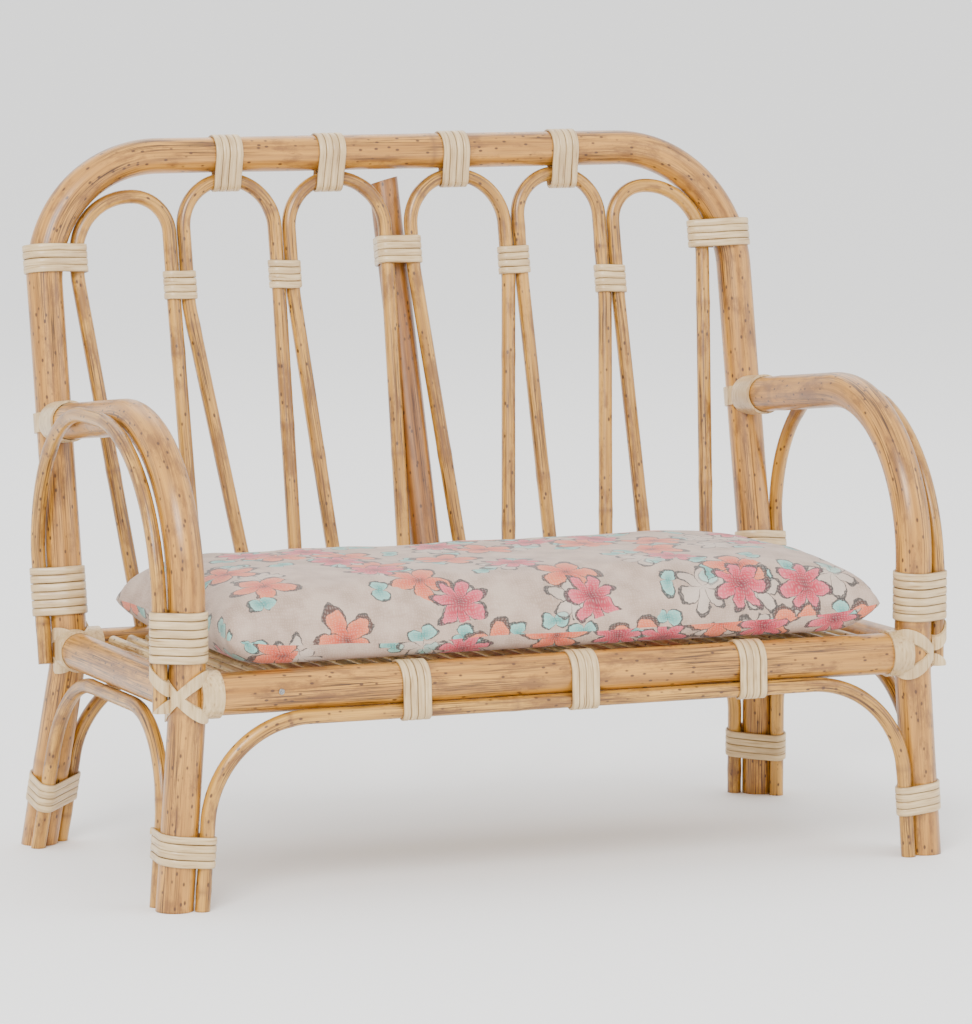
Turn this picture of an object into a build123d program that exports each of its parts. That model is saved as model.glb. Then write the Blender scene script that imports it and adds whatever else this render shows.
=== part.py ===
"""Miniature rattan settee: bent cane frame bound with peel, slatted seat and a loose cushion.

Millimetres. +Z is up and the front faces -Y. "left" is the side towards -X. The pieces are
laid out about the middle of the four leg axes at seat level, and at the end everything is
moved so that the origin is on the floor at the middle of the settee's outer size.
"""

from build123d import *
import math
import os

pieces = {}

# ------------------------------------------------------------------ driving dimensions
SEAT_WIDTH = 376.0          # between the leg axes, side to side, at the seat
SEAT_DEPTH = 172.0          # between the leg axes, front to back, at the seat
SEAT_HEIGHT = 100.0         # axes of the four seat rails above the floor
BACK_HEIGHT = 338.5         # axis of the top rail above the floor
ARM_HEIGHT = 209.5          # axis of the arm where it meets the rear post
RECLINE = 11.0              # lean of the back, degrees
ARM_FALL = 6.4              # fall of the arm towards the back, degrees

FRONT_SPLAY = 6.5           # how far a front foot stands out sideways
REAR_SPLAY = 10.0           # how far a rear foot stands out sideways
REAR_RAKE = 21.0            # how far a rear foot stands out backwards
FRONT_BEND_DROP = 10.0      # the front leg's bend below the seat rails

MAIN_CANE = 18.0
FRONT_RAIL_CANE = 20.0
CENTRE_CANE = 15.0
STAY_CANE = 5.0
THIN_CANE = 7.2
LEDGER_CANE = 8.0
SLAT_CANE = 5.0
PEEL_WIDTH = 4.8
PEEL = 1.1                  # thickness of the binding peel

FIT = 0.15                  # gap between a cane and what is bound or butted to it
BESIDE = 0.4                # gap between two canes that are bound side by side
COPE = 4.0                  # a coped rail end stops this far short of the leg's axis
BELOW_FLOOR = 15.0          # feet start here and are sawn off level with the floor

HOOP_CORNER = 63.0          # bend radii, all on the cane's axis
HOOP_SEAT_BEND = 60.0
FRONT_LEG_BEND = 90.0
ARM_BEND = 78.0
ARCH_BEND = 50.0
LEG_BEND = 60.0             # where a back loop's legs leave their tie

LOOP_TOP_DROP = 19.8        # tops of the two end loops below the top rail's axis
END_LOOP_REACH = 17.3       # outer leg of an end loop from the post's axis
END_LOOP_SHOULDERS = (32.0, 20.0)
TIE_NUDGES = (1.9, -1.7, 1.5, 4.4, -2.1)        # hand-set ties, off an even spacing
TIE_DROPS = (64.0, 60.0, 49.0, 56.0, 67.0)      # below the top rail's axis
HOOP_TIE_DROPS = (49.5, 45.0)
# sideways drift of each back loop's left and right leg, from its tie down to the seat
LEG_DRIFTS = ((21.0, 1.6), (24.3, -1.8), (14.6, -3.1), (17.6, -13.7), (5.9, -12.6), (5.5, -12.7))
STRAIGHT_BELOW_TIE = 10.0
CENTRE_PAIR = 7.1           # the two legs beside the centre post stand this far each side
CENTRE_POST_LEAN = 4.0
STAY_SIDE = 8.2

ARM_LOOP_RISE = 11.5        # top of an arm loop above ARM_HEIGHT
ARM_LOOP_END = 7.0          # its ends reach this far below the seat rails
ARM_LOOP_BENDS = (85.0, 72.0, 40.0)
ARM_LOOP_KINK = 50.0        # it leaves the rear post this far above the seat
ARM_LOOP_LEAD = 10.0

FRONT_FOOT_TURN = 30.0      # directions in which thin canes stand beside a foot, degrees
REAR_FOOT_TURN = 18.0
SIDE_FOOT_TURN = 20.0

SLAT_PITCH = 9.4
SLAT_RISE = 4.0             # slat axes above the rail axes
SLAT_GAP = 2.0              # slat end to rail
NAIL_AT = 43.0              # visible nail from the left front leg's axis
NAIL_HEAD = 2.8
NAIL_HEAD_THICK = 0.5
NAIL_SHANK = 1.3
NAIL_BITE = 3.0             # how deep the nail enters the ledger
NAIL_RISE = 1.0

FOOT_TIE_HEIGHT = 29.0
SEAT_TIE_RISE = 28.0        # middle of a seat-level binding above the rail axes
FOOT_TURNS = 3
SEAT_TURNS = {"front_left": 5, "front_right": 5, "rear_left": 5, "rear_right": 5}
WRAP_TURNS = 3
TOP_WRAP_STEPS = (0.0, -3.0, -1.0, 3.5)         # off the middles of the four inner loops
FRONT_WRAPS = (-77.0, 9.0, 97.0)
BAND_GROOVE = 0.5           # visible gap between neighbouring turns
LASH_SLOPE = 42.0
LASH_BAND = 2 * PEEL_WIDTH

CUSHION_SIDE_GAP = 3.4      # cushion to the inner faces of the arms
CUSHION_FRONT = 7.0         # it overhangs the front leg axes by this much
CUSHION_BACK_GAP = 8.0      # its back edge in front of the rear leg axes
CUSHION_THICK = 35.0
CUSHION_LIFT = 1.8          # its underside above the front rail's top
CUSHION_CORNER = 18.0
CUSHION_ROUND = 13.0
CLOTH = 1.0

# ------------------------------------------------------------------ derived places
HALF_W = SEAT_WIDTH / 2
FRONT_Y = -SEAT_DEPTH / 2
REAR_Y = SEAT_DEPTH / 2
MAIN_R = MAIN_CANE / 2
THIN_R = THIN_CANE / 2
FRONT_RAIL_R = FRONT_RAIL_CANE / 2
SIN_BACK = math.sin(math.radians(RECLINE))
COS_BACK = math.cos(math.radians(RECLINE))
FRONT_BEND_Z = SEAT_HEIGHT - FRONT_BEND_DROP
SIDES = (("left", -1), ("right", 1))


def keep(shape, name):
    """Note a finished sub-part under its name."""
    pieces[name] = shape


def front_leg(side, z):
    """Axis of a front leg at height z."""
    splay = FRONT_SPLAY * max(0.0, FRONT_BEND_Z - z) / FRONT_BEND_Z
    return Vector(side * (HALF_W + splay), FRONT_Y, z)


def rear_leg(side, z):
    """Axis of a rear leg or post at height z."""
    if z >= SEAT_HEIGHT:
        return Vector(side * HALF_W, REAR_Y + (z - SEAT_HEIGHT) * SIN_BACK / COS_BACK, z)
    share = (SEAT_HEIGHT - z) / SEAT_HEIGHT
    return Vector(side * (HALF_W + REAR_SPLAY * share), REAR_Y + REAR_RAKE * share, z)


def in_back(x, rise, behind=0.0):
    """Point in the reclined back: x, rise along the back above the seat, distance behind it."""
    return Vector(
        x,
        REAR_Y + rise * SIN_BACK + behind * COS_BACK,
        SEAT_HEIGHT + rise * COS_BACK - behind * SIN_BACK,
    )


def rise_of(drop):
    """Rise along the back of a place that is this far below the top rail's axis."""
    return (BACK_HEIGHT - drop - SEAT_HEIGHT) / COS_BACK


BACK_UP = in_back(0, 1) - in_back(0, 0)


# ------------------------------------------------------------------ canes
def bend_radii(points, radii):
    """The asked radii, made smaller where two bends would meet on the run between them."""
    runs = [after - before for before, after in zip(points, points[1:])]
    half_turns = [math.radians(a.get_angle(b)) / 2 for a, b in zip(runs, runs[1:])]
    reaches = [radius * math.tan(turn) for radius, turn in zip(radii, half_turns)]
    reaches = [0.0] + reaches + [0.0]
    shares = [min(1.0, 0.99 * run.length / (reaches[i] + reaches[i + 1])) for i, run in enumerate(runs)]
    return [radius * min(shares[i], shares[i + 1]) for i, radius in enumerate(radii)]


def cane_path(points, radii=()):
    """Straight runs joined by tangent arcs."""
    if len(points) == 2:
        return Line(*points)
    return FilletPolyline(*points, radius=bend_radii(points, radii))


def cane(path, diameter):
    """A round cane along a path."""
    return sweep(Plane(origin=path @ 0, z_dir=path % 0) * Circle(diameter / 2), path=path)


def on_floor(shape):
    """Saw the feet off level with the floor."""
    return split(shape, bisect_by=Plane.XY, keep=Keep.TOP)


def room_for(path, diameter):
    """The space that a cane and its fit take up."""
    return cane(path, diameter + 2 * FIT)


# ------------------------------------------------------------------ bindings
def hull(circles, grow):
    """Convex outline round circles given as (x, y, radius)."""
    edges = ShapeList()
    for x, y, radius in circles:
        edges += (Pos(x, y) * Circle(radius + grow)).edges()
    return make_hull(edges)


def binding(centre, direction, canes, turns):
    """Turns of peel round canes given as (point on the axis, diameter)."""
    plane = Plane(origin=centre, z_dir=direction)
    circles = []
    for point, diameter in canes:
        local = plane.to_local_coords(point)
        circles.append((local.X, local.Y, diameter / 2))
    inside = hull(circles, FIT)
    height = turns * PEEL_WIDTH
    wound = extrude(hull(circles, FIT + PEEL / 2) - inside, height)
    for turn in range(turns):
        band = extrude(hull(circles, FIT + PEEL) - inside, PEEL_WIDTH - BAND_GROOVE)
        wound += Pos(0, 0, turn * PEEL_WIDTH + BAND_GROOVE / 2) * band
    return plane * Pos(0, 0, -height / 2) * wound


# ------------------------------------------------------------------ main frame
hoop_path = cane_path(
    [
        rear_leg(-1, -BELOW_FLOOR),
        rear_leg(-1, SEAT_HEIGHT),
        rear_leg(-1, BACK_HEIGHT),
        rear_leg(1, BACK_HEIGHT),
        rear_leg(1, SEAT_HEIGHT),
        rear_leg(1, -BELOW_FLOOR),
    ],
    [HOOP_SEAT_BEND, HOOP_CORNER, HOOP_CORNER, HOOP_SEAT_BEND],
)
keep(on_floor(cane(hoop_path, MAIN_CANE)), "back_hoop")
hoop_room = room_for(hoop_path, MAIN_CANE)

arm_end = {side: rear_leg(side, ARM_HEIGHT) for _, side in SIDES}
ARM_CORNER_Z = ARM_HEIGHT + (arm_end[1].Y - FRONT_Y) * math.tan(math.radians(ARM_FALL))
arm_paths = {}
for name, side in SIDES:
    arm_paths[side] = cane_path(
        [
            front_leg(side, -BELOW_FLOOR),
            front_leg(side, FRONT_BEND_Z),
            Vector(side * HALF_W, FRONT_Y, ARM_CORNER_Z),
            arm_end[side],
        ],
        [FRONT_LEG_BEND, ARM_BEND],
    )
    pole = on_floor(cane(arm_paths[side], MAIN_CANE)) - hoop_room
    keep(pole, f"arm_pole_{name}")
arm_rooms = {side: room_for(arm_paths[side], MAIN_CANE) for _, side in SIDES}

front_rail_path = Line((-HALF_W + COPE, FRONT_Y, SEAT_HEIGHT), (HALF_W - COPE, FRONT_Y, SEAT_HEIGHT))
rear_rail_path = Line((-HALF_W + COPE, REAR_Y, SEAT_HEIGHT), (HALF_W - COPE, REAR_Y, SEAT_HEIGHT))
front_rail_room = room_for(front_rail_path, FRONT_RAIL_CANE)
rear_rail_room = room_for(rear_rail_path, MAIN_CANE)

ledger_z = SEAT_HEIGHT + SLAT_RISE - (SLAT_CANE + LEDGER_CANE) / 2 - FIT


def ledger_y(rail_y, rail_radius, inward):
    """A ledger lies beside its rail, far enough off for the peel to pass between them."""
    reach = rail_radius + LEDGER_CANE / 2 + PEEL + 2 * FIT
    return rail_y + inward * math.sqrt(reach**2 - (SEAT_HEIGHT - ledger_z) ** 2)


front_ledger_y = ledger_y(FRONT_Y, FRONT_RAIL_R, 1)
rear_ledger_y = ledger_y(REAR_Y, MAIN_R, -1)

nail_x = -HALF_W + NAIL_AT
nail_z = SEAT_HEIGHT + NAIL_RISE
nail_face = FRONT_Y - FRONT_RAIL_R
nail_tip = front_ledger_y - LEDGER_CANE / 2 + NAIL_BITE
nail_line = Plane(origin=(nail_x, nail_face, nail_z), z_dir=(0, 1, 0))


def nail(grow):
    """Flat-headed nail, or with growth the hole that it fills."""
    head = Pos(0, 0, -NAIL_HEAD_THICK) * extrude(Circle(NAIL_HEAD / 2 + grow), NAIL_HEAD_THICK - grow)
    shank = extrude(Circle(NAIL_SHANK / 2 + grow), nail_tip - nail_face + grow)
    if grow:
        return nail_line * shank
    return nail_line * (head + shank)


keep(nail(0.0), "front_rail_nail")
nail_hole = nail(FIT / 3)

arm_pole_rooms = arm_rooms[-1] + arm_rooms[1]
front_rail = cane(front_rail_path, FRONT_RAIL_CANE) - arm_pole_rooms - nail_hole
keep(front_rail, "front_seat_rail")
keep(cane(rear_rail_path, MAIN_CANE) - hoop_room, "rear_seat_rail")

side_rail_rooms = {}
for name, side in SIDES:
    path = Line(
        (side * HALF_W, FRONT_Y + COPE, SEAT_HEIGHT),
        (side * HALF_W, REAR_Y - COPE, SEAT_HEIGHT),
    )
    side_rail_rooms[side] = room_for(path, MAIN_CANE)
    rail = cane(path, MAIN_CANE) - arm_rooms[side] - hoop_room - front_rail_room - rear_rail_room
    keep(rail, f"side_rail_{name}")

# ------------------------------------------------------------------ seat
ledger_half = HALF_W - MAIN_R - PEEL - FIT - BESIDE
for name, y in (("front_ledger", front_ledger_y), ("rear_ledger", rear_ledger_y)):
    ledger = cane(Line((-ledger_half, y, ledger_z), (ledger_half, y, ledger_z)), LEDGER_CANE)
    keep(ledger - nail_hole, name)

slat_front = FRONT_Y + FRONT_RAIL_R + SLAT_GAP
slat_back = REAR_Y - MAIN_R - SLAT_GAP
slat_z = SEAT_HEIGHT + SLAT_RISE
slats_each_side = int((ledger_half - SLAT_CANE) / SLAT_PITCH)
slat = cane(Line((0, slat_front, slat_z), (0, slat_back, slat_z)), SLAT_CANE)
slat_places = range(-slats_each_side, slats_each_side + 1)
slats = Compound([(Pos(i * SLAT_PITCH, 0, 0) * slat).solid() for i in slat_places])
keep(slats, "seat_slats")

# ------------------------------------------------------------------ back
slot = (HALF_W - MAIN_R) / 3
tie_x = [slot * (i - 2) + nudge for i, nudge in enumerate(TIE_NUDGES)]
tie_rise = [rise_of(drop) for drop in TIE_DROPS]
hoop_tie_rise = [rise_of(drop) for drop in HOOP_TIE_DROPS]
pair_half = (THIN_CANE + BESIDE) / 2
half_gaps = [pair_half, pair_half, CENTRE_PAIR, pair_half, pair_half]
end_leg_x = HALF_W - END_LOOP_REACH

loop_left_x = [-end_leg_x] + [tie_x[i] + half_gaps[i] for i in range(5)]
loop_right_x = [tie_x[i] - half_gaps[i] for i in range(5)] + [end_leg_x]
left_rise = [hoop_tie_rise[0]] + tie_rise
right_rise = tie_rise + [hoop_tie_rise[1]]
under_top_rail = rise_of(0) - (MAIN_R + THIN_R + FIT)
end_loop_top = rise_of(LOOP_TOP_DROP)


def end_shoulders(i):
    """Outer and inner shoulder radius of an end loop, made to fit between its legs."""
    width = loop_right_x[i] - loop_left_x[i]
    share = min(1.0, 0.98 * width / sum(END_LOOP_SHOULDERS))
    return [radius * share for radius in END_LOOP_SHOULDERS]


def back_loop(i):
    """Inverted U of thin cane, standing on the rear rail in the plane of the back."""
    left, right = loop_left_x[i], loop_right_x[i]
    top = end_loop_top if i in (0, 5) else under_top_rail
    shoulder = (right - left) / 2
    shoulders = [shoulder, shoulder]
    if i == 0:
        shoulders = end_shoulders(i)
    if i == 5:
        shoulders = list(reversed(end_shoulders(i)))
    points = [
        in_back(left + LEG_DRIFTS[i][0], 0),
        in_back(left, left_rise[i] - STRAIGHT_BELOW_TIE),
        in_back(left, top),
        in_back(right, top),
        in_back(right, right_rise[i] - STRAIGHT_BELOW_TIE),
        in_back(right + LEG_DRIFTS[i][1], 0),
    ]
    return cane(cane_path(points, [LEG_BEND] + shoulders + [LEG_BEND]), THIN_CANE)


for i in range(6):
    keep(back_loop(i) - rear_rail_room, f"back_loop_{i + 1}")

# The centre post stands on the rear rail, leans back behind the loops at their tie and
# is cut on a slant under the top rail.
centre_tie_x, centre_tie_rise = tie_x[2], tie_rise[2]
centre_behind = (THIN_CANE + CENTRE_CANE) / 2 + BESIDE


def centre_line(rise, side_step=0.0, back_step=0.0):
    """Point on the centre post's axis, or on a line beside it."""
    share = rise / centre_tie_rise
    x = centre_tie_x + CENTRE_POST_LEAN * (1 - share) + side_step
    return in_back(x, rise, centre_behind * share + back_step)


post_top = rise_of(MAIN_R)
post = cane(cane_path([centre_line(0), centre_line(post_top)]), CENTRE_CANE)
slant = Plane(origin=centre_line(post_top - CENTRE_CANE / 4), z_dir=BACK_UP - Vector(0.25, 0, 0))
post = split(post, bisect_by=slant, keep=Keep.BOTTOM)
keep(post - hoop_room - rear_rail_room, "centre_post")

stay_reach = (CENTRE_CANE + STAY_CANE) / 2 + BESIDE
stay_back = math.sqrt(stay_reach**2 - STAY_SIDE**2)
stay_top = centre_tie_rise + WRAP_TURNS * PEEL_WIDTH / 2
stay_points = [centre_line(0, STAY_SIDE, stay_back), centre_line(stay_top, STAY_SIDE, stay_back)]
keep(cane(cane_path(stay_points), STAY_CANE) - rear_rail_room, "centre_stay")

# ------------------------------------------------------------------ arm loops
arm_loop_x = HALF_W + MAIN_R + THIN_R + BESIDE
arm_loop_top = ARM_HEIGHT + ARM_LOOP_RISE
kink = rear_leg(1, SEAT_HEIGHT + ARM_LOOP_KINK)
arm_loop_foot = SEAT_HEIGHT - ARM_LOOP_END
arm_loop_paths = {}
for name, side in SIDES:
    x = side * arm_loop_x
    foot_y = REAR_Y - ARM_LOOP_END * SIN_BACK / COS_BACK
    arm_loop_paths[side] = cane_path(
        [
            Vector(x, FRONT_Y, arm_loop_foot),
            Vector(x, FRONT_Y, arm_loop_top),
            Vector(x, kink.Y - ARM_LOOP_LEAD, arm_loop_top),
            Vector(x, kink.Y, kink.Z),
            Vector(x, foot_y, arm_loop_foot),
        ],
        ARM_LOOP_BENDS,
    )
    loop = cane(arm_loop_paths[side], THIN_CANE) - hoop_room - arm_rooms[side]
    keep(loop, f"arm_loop_{name}")

# ------------------------------------------------------------------ aprons and side arches
foot_reach = MAIN_R + THIN_R + BESIDE


def beside_foot(side, turn, across, along):
    """Step from a leg's axis to the thin cane beside it, seen from above."""
    turn = math.radians(turn)
    if across:
        return Vector(-side * math.cos(turn), along * math.sin(turn), 0) * foot_reach
    return Vector(side * math.sin(turn), along * math.cos(turn), 0) * foot_reach


def height_under(rail_radius, reach):
    """Height at which a thin cane that passes reach(z) beside a rail's axis just clears it."""
    clear = rail_radius + THIN_R + FIT
    z = SEAT_HEIGHT - clear
    for _ in range(5):
        z = SEAT_HEIGHT - math.sqrt(clear**2 - reach(z) ** 2)
    return z


front_step = {side: beside_foot(side, FRONT_FOOT_TURN, True, -1) for _, side in SIDES}
rear_step = {side: beside_foot(side, REAR_FOOT_TURN, True, 1) for _, side in SIDES}
front_side_step = {side: beside_foot(side, SIDE_FOOT_TURN, False, 1) for _, side in SIDES}
rear_side_step = {side: beside_foot(side, SIDE_FOOT_TURN, False, -1) for _, side in SIDES}

front_apron_z = height_under(FRONT_RAIL_R, lambda z: front_step[1].Y)
rear_apron_z = height_under(MAIN_R, lambda z: rear_leg(1, z).Y + rear_step[1].Y - REAR_Y)
side_arch_z = height_under(MAIN_R, lambda z: front_side_step[1].X)


def apron_arch(leg, step, top):
    """Thin cane from foot to foot, under the rail between two legs."""
    points = [
        leg(-1, -BELOW_FLOOR) + step[-1],
        leg(-1, top) + step[-1],
        leg(1, top) + step[1],
        leg(1, -BELOW_FLOOR) + step[1],
    ]
    return on_floor(cane(cane_path(points, [ARCH_BEND, ARCH_BEND]), THIN_CANE))


keep(apron_arch(front_leg, front_step, front_apron_z), "front_apron_arch")
keep(apron_arch(rear_leg, rear_step, rear_apron_z), "rear_apron_arch")
for name, side in SIDES:
    points = [
        front_leg(side, -BELOW_FLOOR) + front_side_step[side],
        front_leg(side, side_arch_z) + front_side_step[side],
        rear_leg(side, side_arch_z) + rear_side_step[side],
        rear_leg(side, -BELOW_FLOOR) + rear_side_step[side],
    ]
    arch = on_floor(cane(cane_path(points, [ARCH_BEND, ARCH_BEND]), THIN_CANE))
    keep(arch, f"side_arch_{name}")

# ------------------------------------------------------------------ bindings on the back
for i, step in enumerate(TOP_WRAP_STEPS):
    # the loop falls away from its highest point, so its lowest place under the wrap counts too
    loop = i + 1
    x = (loop_left_x[loop] + loop_right_x[loop]) / 2 + step
    rail_point = in_back(x, rise_of(0))
    shoulder = (loop_right_x[loop] - loop_left_x[loop]) / 2
    slope = math.asin((abs(step) + WRAP_TURNS * PEEL_WIDTH / 2) / shoulder)
    sag = shoulder * (1 - math.cos(slope)) + THIN_R * (1 / math.cos(slope) - 1)
    tops = [(in_back(x, under_top_rail), THIN_CANE), (in_back(x, under_top_rail - sag), THIN_CANE)]
    wrap = binding(rail_point, (1, 0, 0), [(rail_point, MAIN_CANE)] + tops, WRAP_TURNS)
    keep(wrap, f"top_rail_wrap_{i + 1}")


def lean_at(rise, top, radius):
    """Cosine of how far a cane has turned from upright at this rise, under its top corner."""
    return math.cos(math.asin(max(0.0, rise - (top - radius)) / radius))


for i, (name, side), rise in zip((0, 5), SIDES, hoop_tie_rise):
    # both canes bend inwards here, so each counts where it is at both ends of the tie
    canes = []
    for end in (rise - WRAP_TURNS * PEEL_WIDTH / 2, rise + WRAP_TURNS * PEEL_WIDTH / 2):
        for axis_x, diameter, top, radius in (
            (HALF_W, MAIN_CANE, rise_of(0), HOOP_CORNER),
            (end_leg_x, THIN_CANE, end_loop_top, end_shoulders(i)[0]),
        ):
            lean = lean_at(end, top, radius)
            x = side * (axis_x - radius * (1 - lean))
            canes.append((in_back(x, rise), diameter / lean))
    tie = binding(in_back(side * HALF_W, rise), BACK_UP, canes, WRAP_TURNS)
    keep(tie, f"hoop_tie_{name}")

for i in range(5):
    centre = in_back(tie_x[i], tie_rise[i])
    canes = []
    for step in (-half_gaps[i], half_gaps[i]):
        canes.append((in_back(tie_x[i] + step, tie_rise[i]), THIN_CANE))
    if i == 2:
        half = WRAP_TURNS * PEEL_WIDTH / 2
        for rise in (centre_tie_rise - half, centre_tie_rise + half):
            canes.append((centre_line(rise), CENTRE_CANE))
            canes.append((centre_line(rise, STAY_SIDE, stay_back), STAY_CANE))
    keep(binding(centre, BACK_UP, canes, WRAP_TURNS), f"loop_tie_{i + 1}")

# ------------------------------------------------------------------ bindings on the rails
left_foot = [x + drift[0] for x, drift in zip(loop_left_x, LEG_DRIFTS)]
right_foot = [x + drift[1] for x, drift in zip(loop_right_x, LEG_DRIFTS)]
rear_wraps = (
    (right_foot[0] + left_foot[1]) / 2,
    (left_foot[2] + right_foot[2]) / 2,
    (right_foot[4] + left_foot[5]) / 2,
)
front_arch_y = front_leg(1, front_apron_z).Y + front_step[1].Y
rear_arch_y = rear_leg(1, rear_apron_z).Y + rear_step[1].Y
for rail, y, diameter, arch_y, z, places in (
    ("front", FRONT_Y, FRONT_RAIL_CANE, front_arch_y, front_apron_z, FRONT_WRAPS),
    ("rear", REAR_Y, MAIN_CANE, rear_arch_y, rear_apron_z, rear_wraps),
):
    for i, x in enumerate(places):
        rail_point = Vector(x, y, SEAT_HEIGHT)
        canes = [(rail_point, diameter), (Vector(x, arch_y, z), THIN_CANE)]
        keep(binding(rail_point, (1, 0, 0), canes, WRAP_TURNS), f"{rail}_rail_wrap_{i + 1}")

# ------------------------------------------------------------------ bindings on the legs
for name, side in SIDES:
    for end, leg, steps in (
        ("front", front_leg, (front_step[side], front_side_step[side])),
        ("rear", rear_leg, (rear_step[side], rear_side_step[side])),
    ):
        axis_point = leg(side, FOOT_TIE_HEIGHT)
        direction = leg(side, FOOT_TIE_HEIGHT + 1) - axis_point
        canes = [(axis_point, MAIN_CANE)]
        canes += [(axis_point + step, THIN_CANE) for step in steps]
        keep(binding(axis_point, direction, canes, FOOT_TURNS), f"foot_binding_{end}_{name}")

        axis_point = leg(side, SEAT_HEIGHT + SEAT_TIE_RISE)
        direction = leg(side, SEAT_HEIGHT + SEAT_TIE_RISE + 1) - axis_point
        loop_point = Vector(side * arm_loop_x, axis_point.Y, axis_point.Z)
        canes = [(axis_point, MAIN_CANE), (loop_point, THIN_CANE)]
        turns = SEAT_TURNS[f"{end}_{name}"]
        keep(binding(axis_point, direction, canes, turns), f"seat_binding_{end}_{name}")

# ------------------------------------------------------------------ corner lashings and arm bindings
def slab(centre, normal, thick):
    """A thin flat block across a leg, used to cut one strip out of a sleeve."""
    size = 4 * MAIN_CANE
    return Plane(origin=centre, z_dir=normal) * Box(size, size, thick)


def sleeve(path, diameter):
    """One layer of peel round a cane, open where the cane goes."""
    ring = Circle(diameter / 2 + FIT + PEEL) - Circle(diameter / 2 + FIT)
    return sweep(Plane(origin=path @ 0, z_dir=path % 0) * ring, path=path)


def rail_band(side, y, step, diameter):
    """Two turns round the end of a rail, close to the leg."""
    near = MAIN_R / 2
    far = MAIN_R + FIT + PEEL + LASH_BAND / 2
    start = Vector(side * HALF_W, y, SEAT_HEIGHT)
    return sleeve(Line(start + step * near, start + step * far), diameter)


def corner_lashing(y, inward, leg_path, leg_room, rail_room, rail_cane, over_loop):
    """Crossing strips over the left leg, and the arm loop if asked, and turns round each rail end."""
    side = -1
    corner = Vector(side * HALF_W, y, SEAT_HEIGHT)
    loop_path = arm_loop_paths[side]
    # the leg and side rail turns stop flat against the arm loop, which has its own strips
    outside = side * (arm_loop_x - THIN_R - FIT + 2 * MAIN_CANE)
    beyond = Pos(outside, y, SEAT_HEIGHT) * Box(4 * MAIN_CANE, 4 * MAIN_CANE, 4 * MAIN_CANE)
    rooms = {"leg": leg_room, "rail": rail_room, "side rail": side_rail_rooms[side]}
    strips = [
        ("rail", rail_band(side, y, Vector(-side, 0, 0), rail_cane)),
        ("side rail", rail_band(side, y, Vector(0, inward, 0), MAIN_CANE) - beyond),
    ]
    lift = math.tan(math.radians(LASH_SLOPE))
    for slope in (-1, 1):
        normal = Vector(slope * lift * side, slope * lift * inward, math.sqrt(2))
        cut = slab(corner, normal, PEEL_WIDTH)
        strips.append(("leg", sleeve(leg_path, MAIN_CANE) & (cut - beyond)))
        if over_loop:
            strips.append(("loop", sleeve(loop_path, THIN_CANE) & cut))
    clear = []
    for own, strip in strips:
        for other, room in rooms.items():
            if other != own:
                strip = strip - room
        clear += strip.solids()
    return clear[0].fuse(*clear[1:])


for end, lashing in (
    ("front", corner_lashing(FRONT_Y, 1, arm_paths[-1], arm_rooms[-1], front_rail_room, FRONT_RAIL_CANE, True)),
    ("rear", corner_lashing(REAR_Y, -1, hoop_path, hoop_room, rear_rail_room, MAIN_CANE, False)),
):
    keep(lashing, f"corner_lashing_{end}_left")
    keep(mirror(lashing, about=Plane.YZ), f"corner_lashing_{end}_right")

for name, side in SIDES:
    post_sleeve = sleeve(hoop_path, MAIN_CANE) & slab(arm_end[side], BACK_UP, LASH_BAND)
    arm_way = (arm_paths[side] % 1) * -1
    round_arm = arm_end[side] + arm_way * (MAIN_R + WRAP_TURNS * PEEL_WIDTH / 2)
    arm_sleeve = sleeve(arm_paths[side], MAIN_CANE) & slab(round_arm, arm_way, 4 * PEEL_WIDTH)
    bound = post_sleeve + arm_sleeve
    bound -= hoop_room
    bound -= arm_rooms[side]
    keep(bound, f"arm_binding_{name}")

# ------------------------------------------------------------------ cushion
cushion_half = HALF_W - MAIN_R - CUSHION_SIDE_GAP
cushion_front = FRONT_Y - CUSHION_FRONT
cushion_back = REAR_Y - CUSHION_BACK_GAP
cushion_z = SEAT_HEIGHT + FRONT_RAIL_R + CUSHION_LIFT


def pad(shrink):
    """Rounded pad, smaller all round by shrink."""
    size = (
        2 * (cushion_half - shrink),
        cushion_back - cushion_front - 2 * shrink,
        CUSHION_THICK - 2 * shrink,
    )
    block = Box(*size)
    block = fillet(block.edges().filter_by(Axis.Z), CUSHION_CORNER - shrink)
    rims = block.faces().sort_by(Axis.Z)[0].edges() + block.faces().sort_by(Axis.Z)[-1].edges()
    block = fillet(rims, CUSHION_ROUND - shrink)
    pad_y = (cushion_back + cushion_front) / 2
    return Pos(0, pad_y, cushion_z + CUSHION_THICK / 2) * block


cover = pad(0) - pad(CLOTH)
seam_plane = Plane.XY.offset(cushion_z + CUSHION_THICK / 2)
keep(split(cover, bisect_by=seam_plane, keep=Keep.TOP), "cushion_top_panel")
keep(split(cover, bisect_by=seam_plane, keep=Keep.BOTTOM), "cushion_bottom_panel")
keep(pad(CLOTH + FIT), "cushion_filling")

# ------------------------------------------------------------------ origin and files
boxes = [shape.bounding_box() for shape in pieces.values()]
middle_y = (min(box.min.Y for box in boxes) + max(box.max.Y for box in boxes)) / 2
print(f"moved by {-middle_y:.3f} mm along Y")
os.makedirs("parts", exist_ok=True)
for name, shape in pieces.items():
    export_step(Pos(0, -middle_y, 0) * shape, f"parts/{name}.step")
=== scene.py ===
import bmesh
import bpy
import math
import random
from mathutils import Matrix, Quaternion, Vector, geometry, noise


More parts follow.
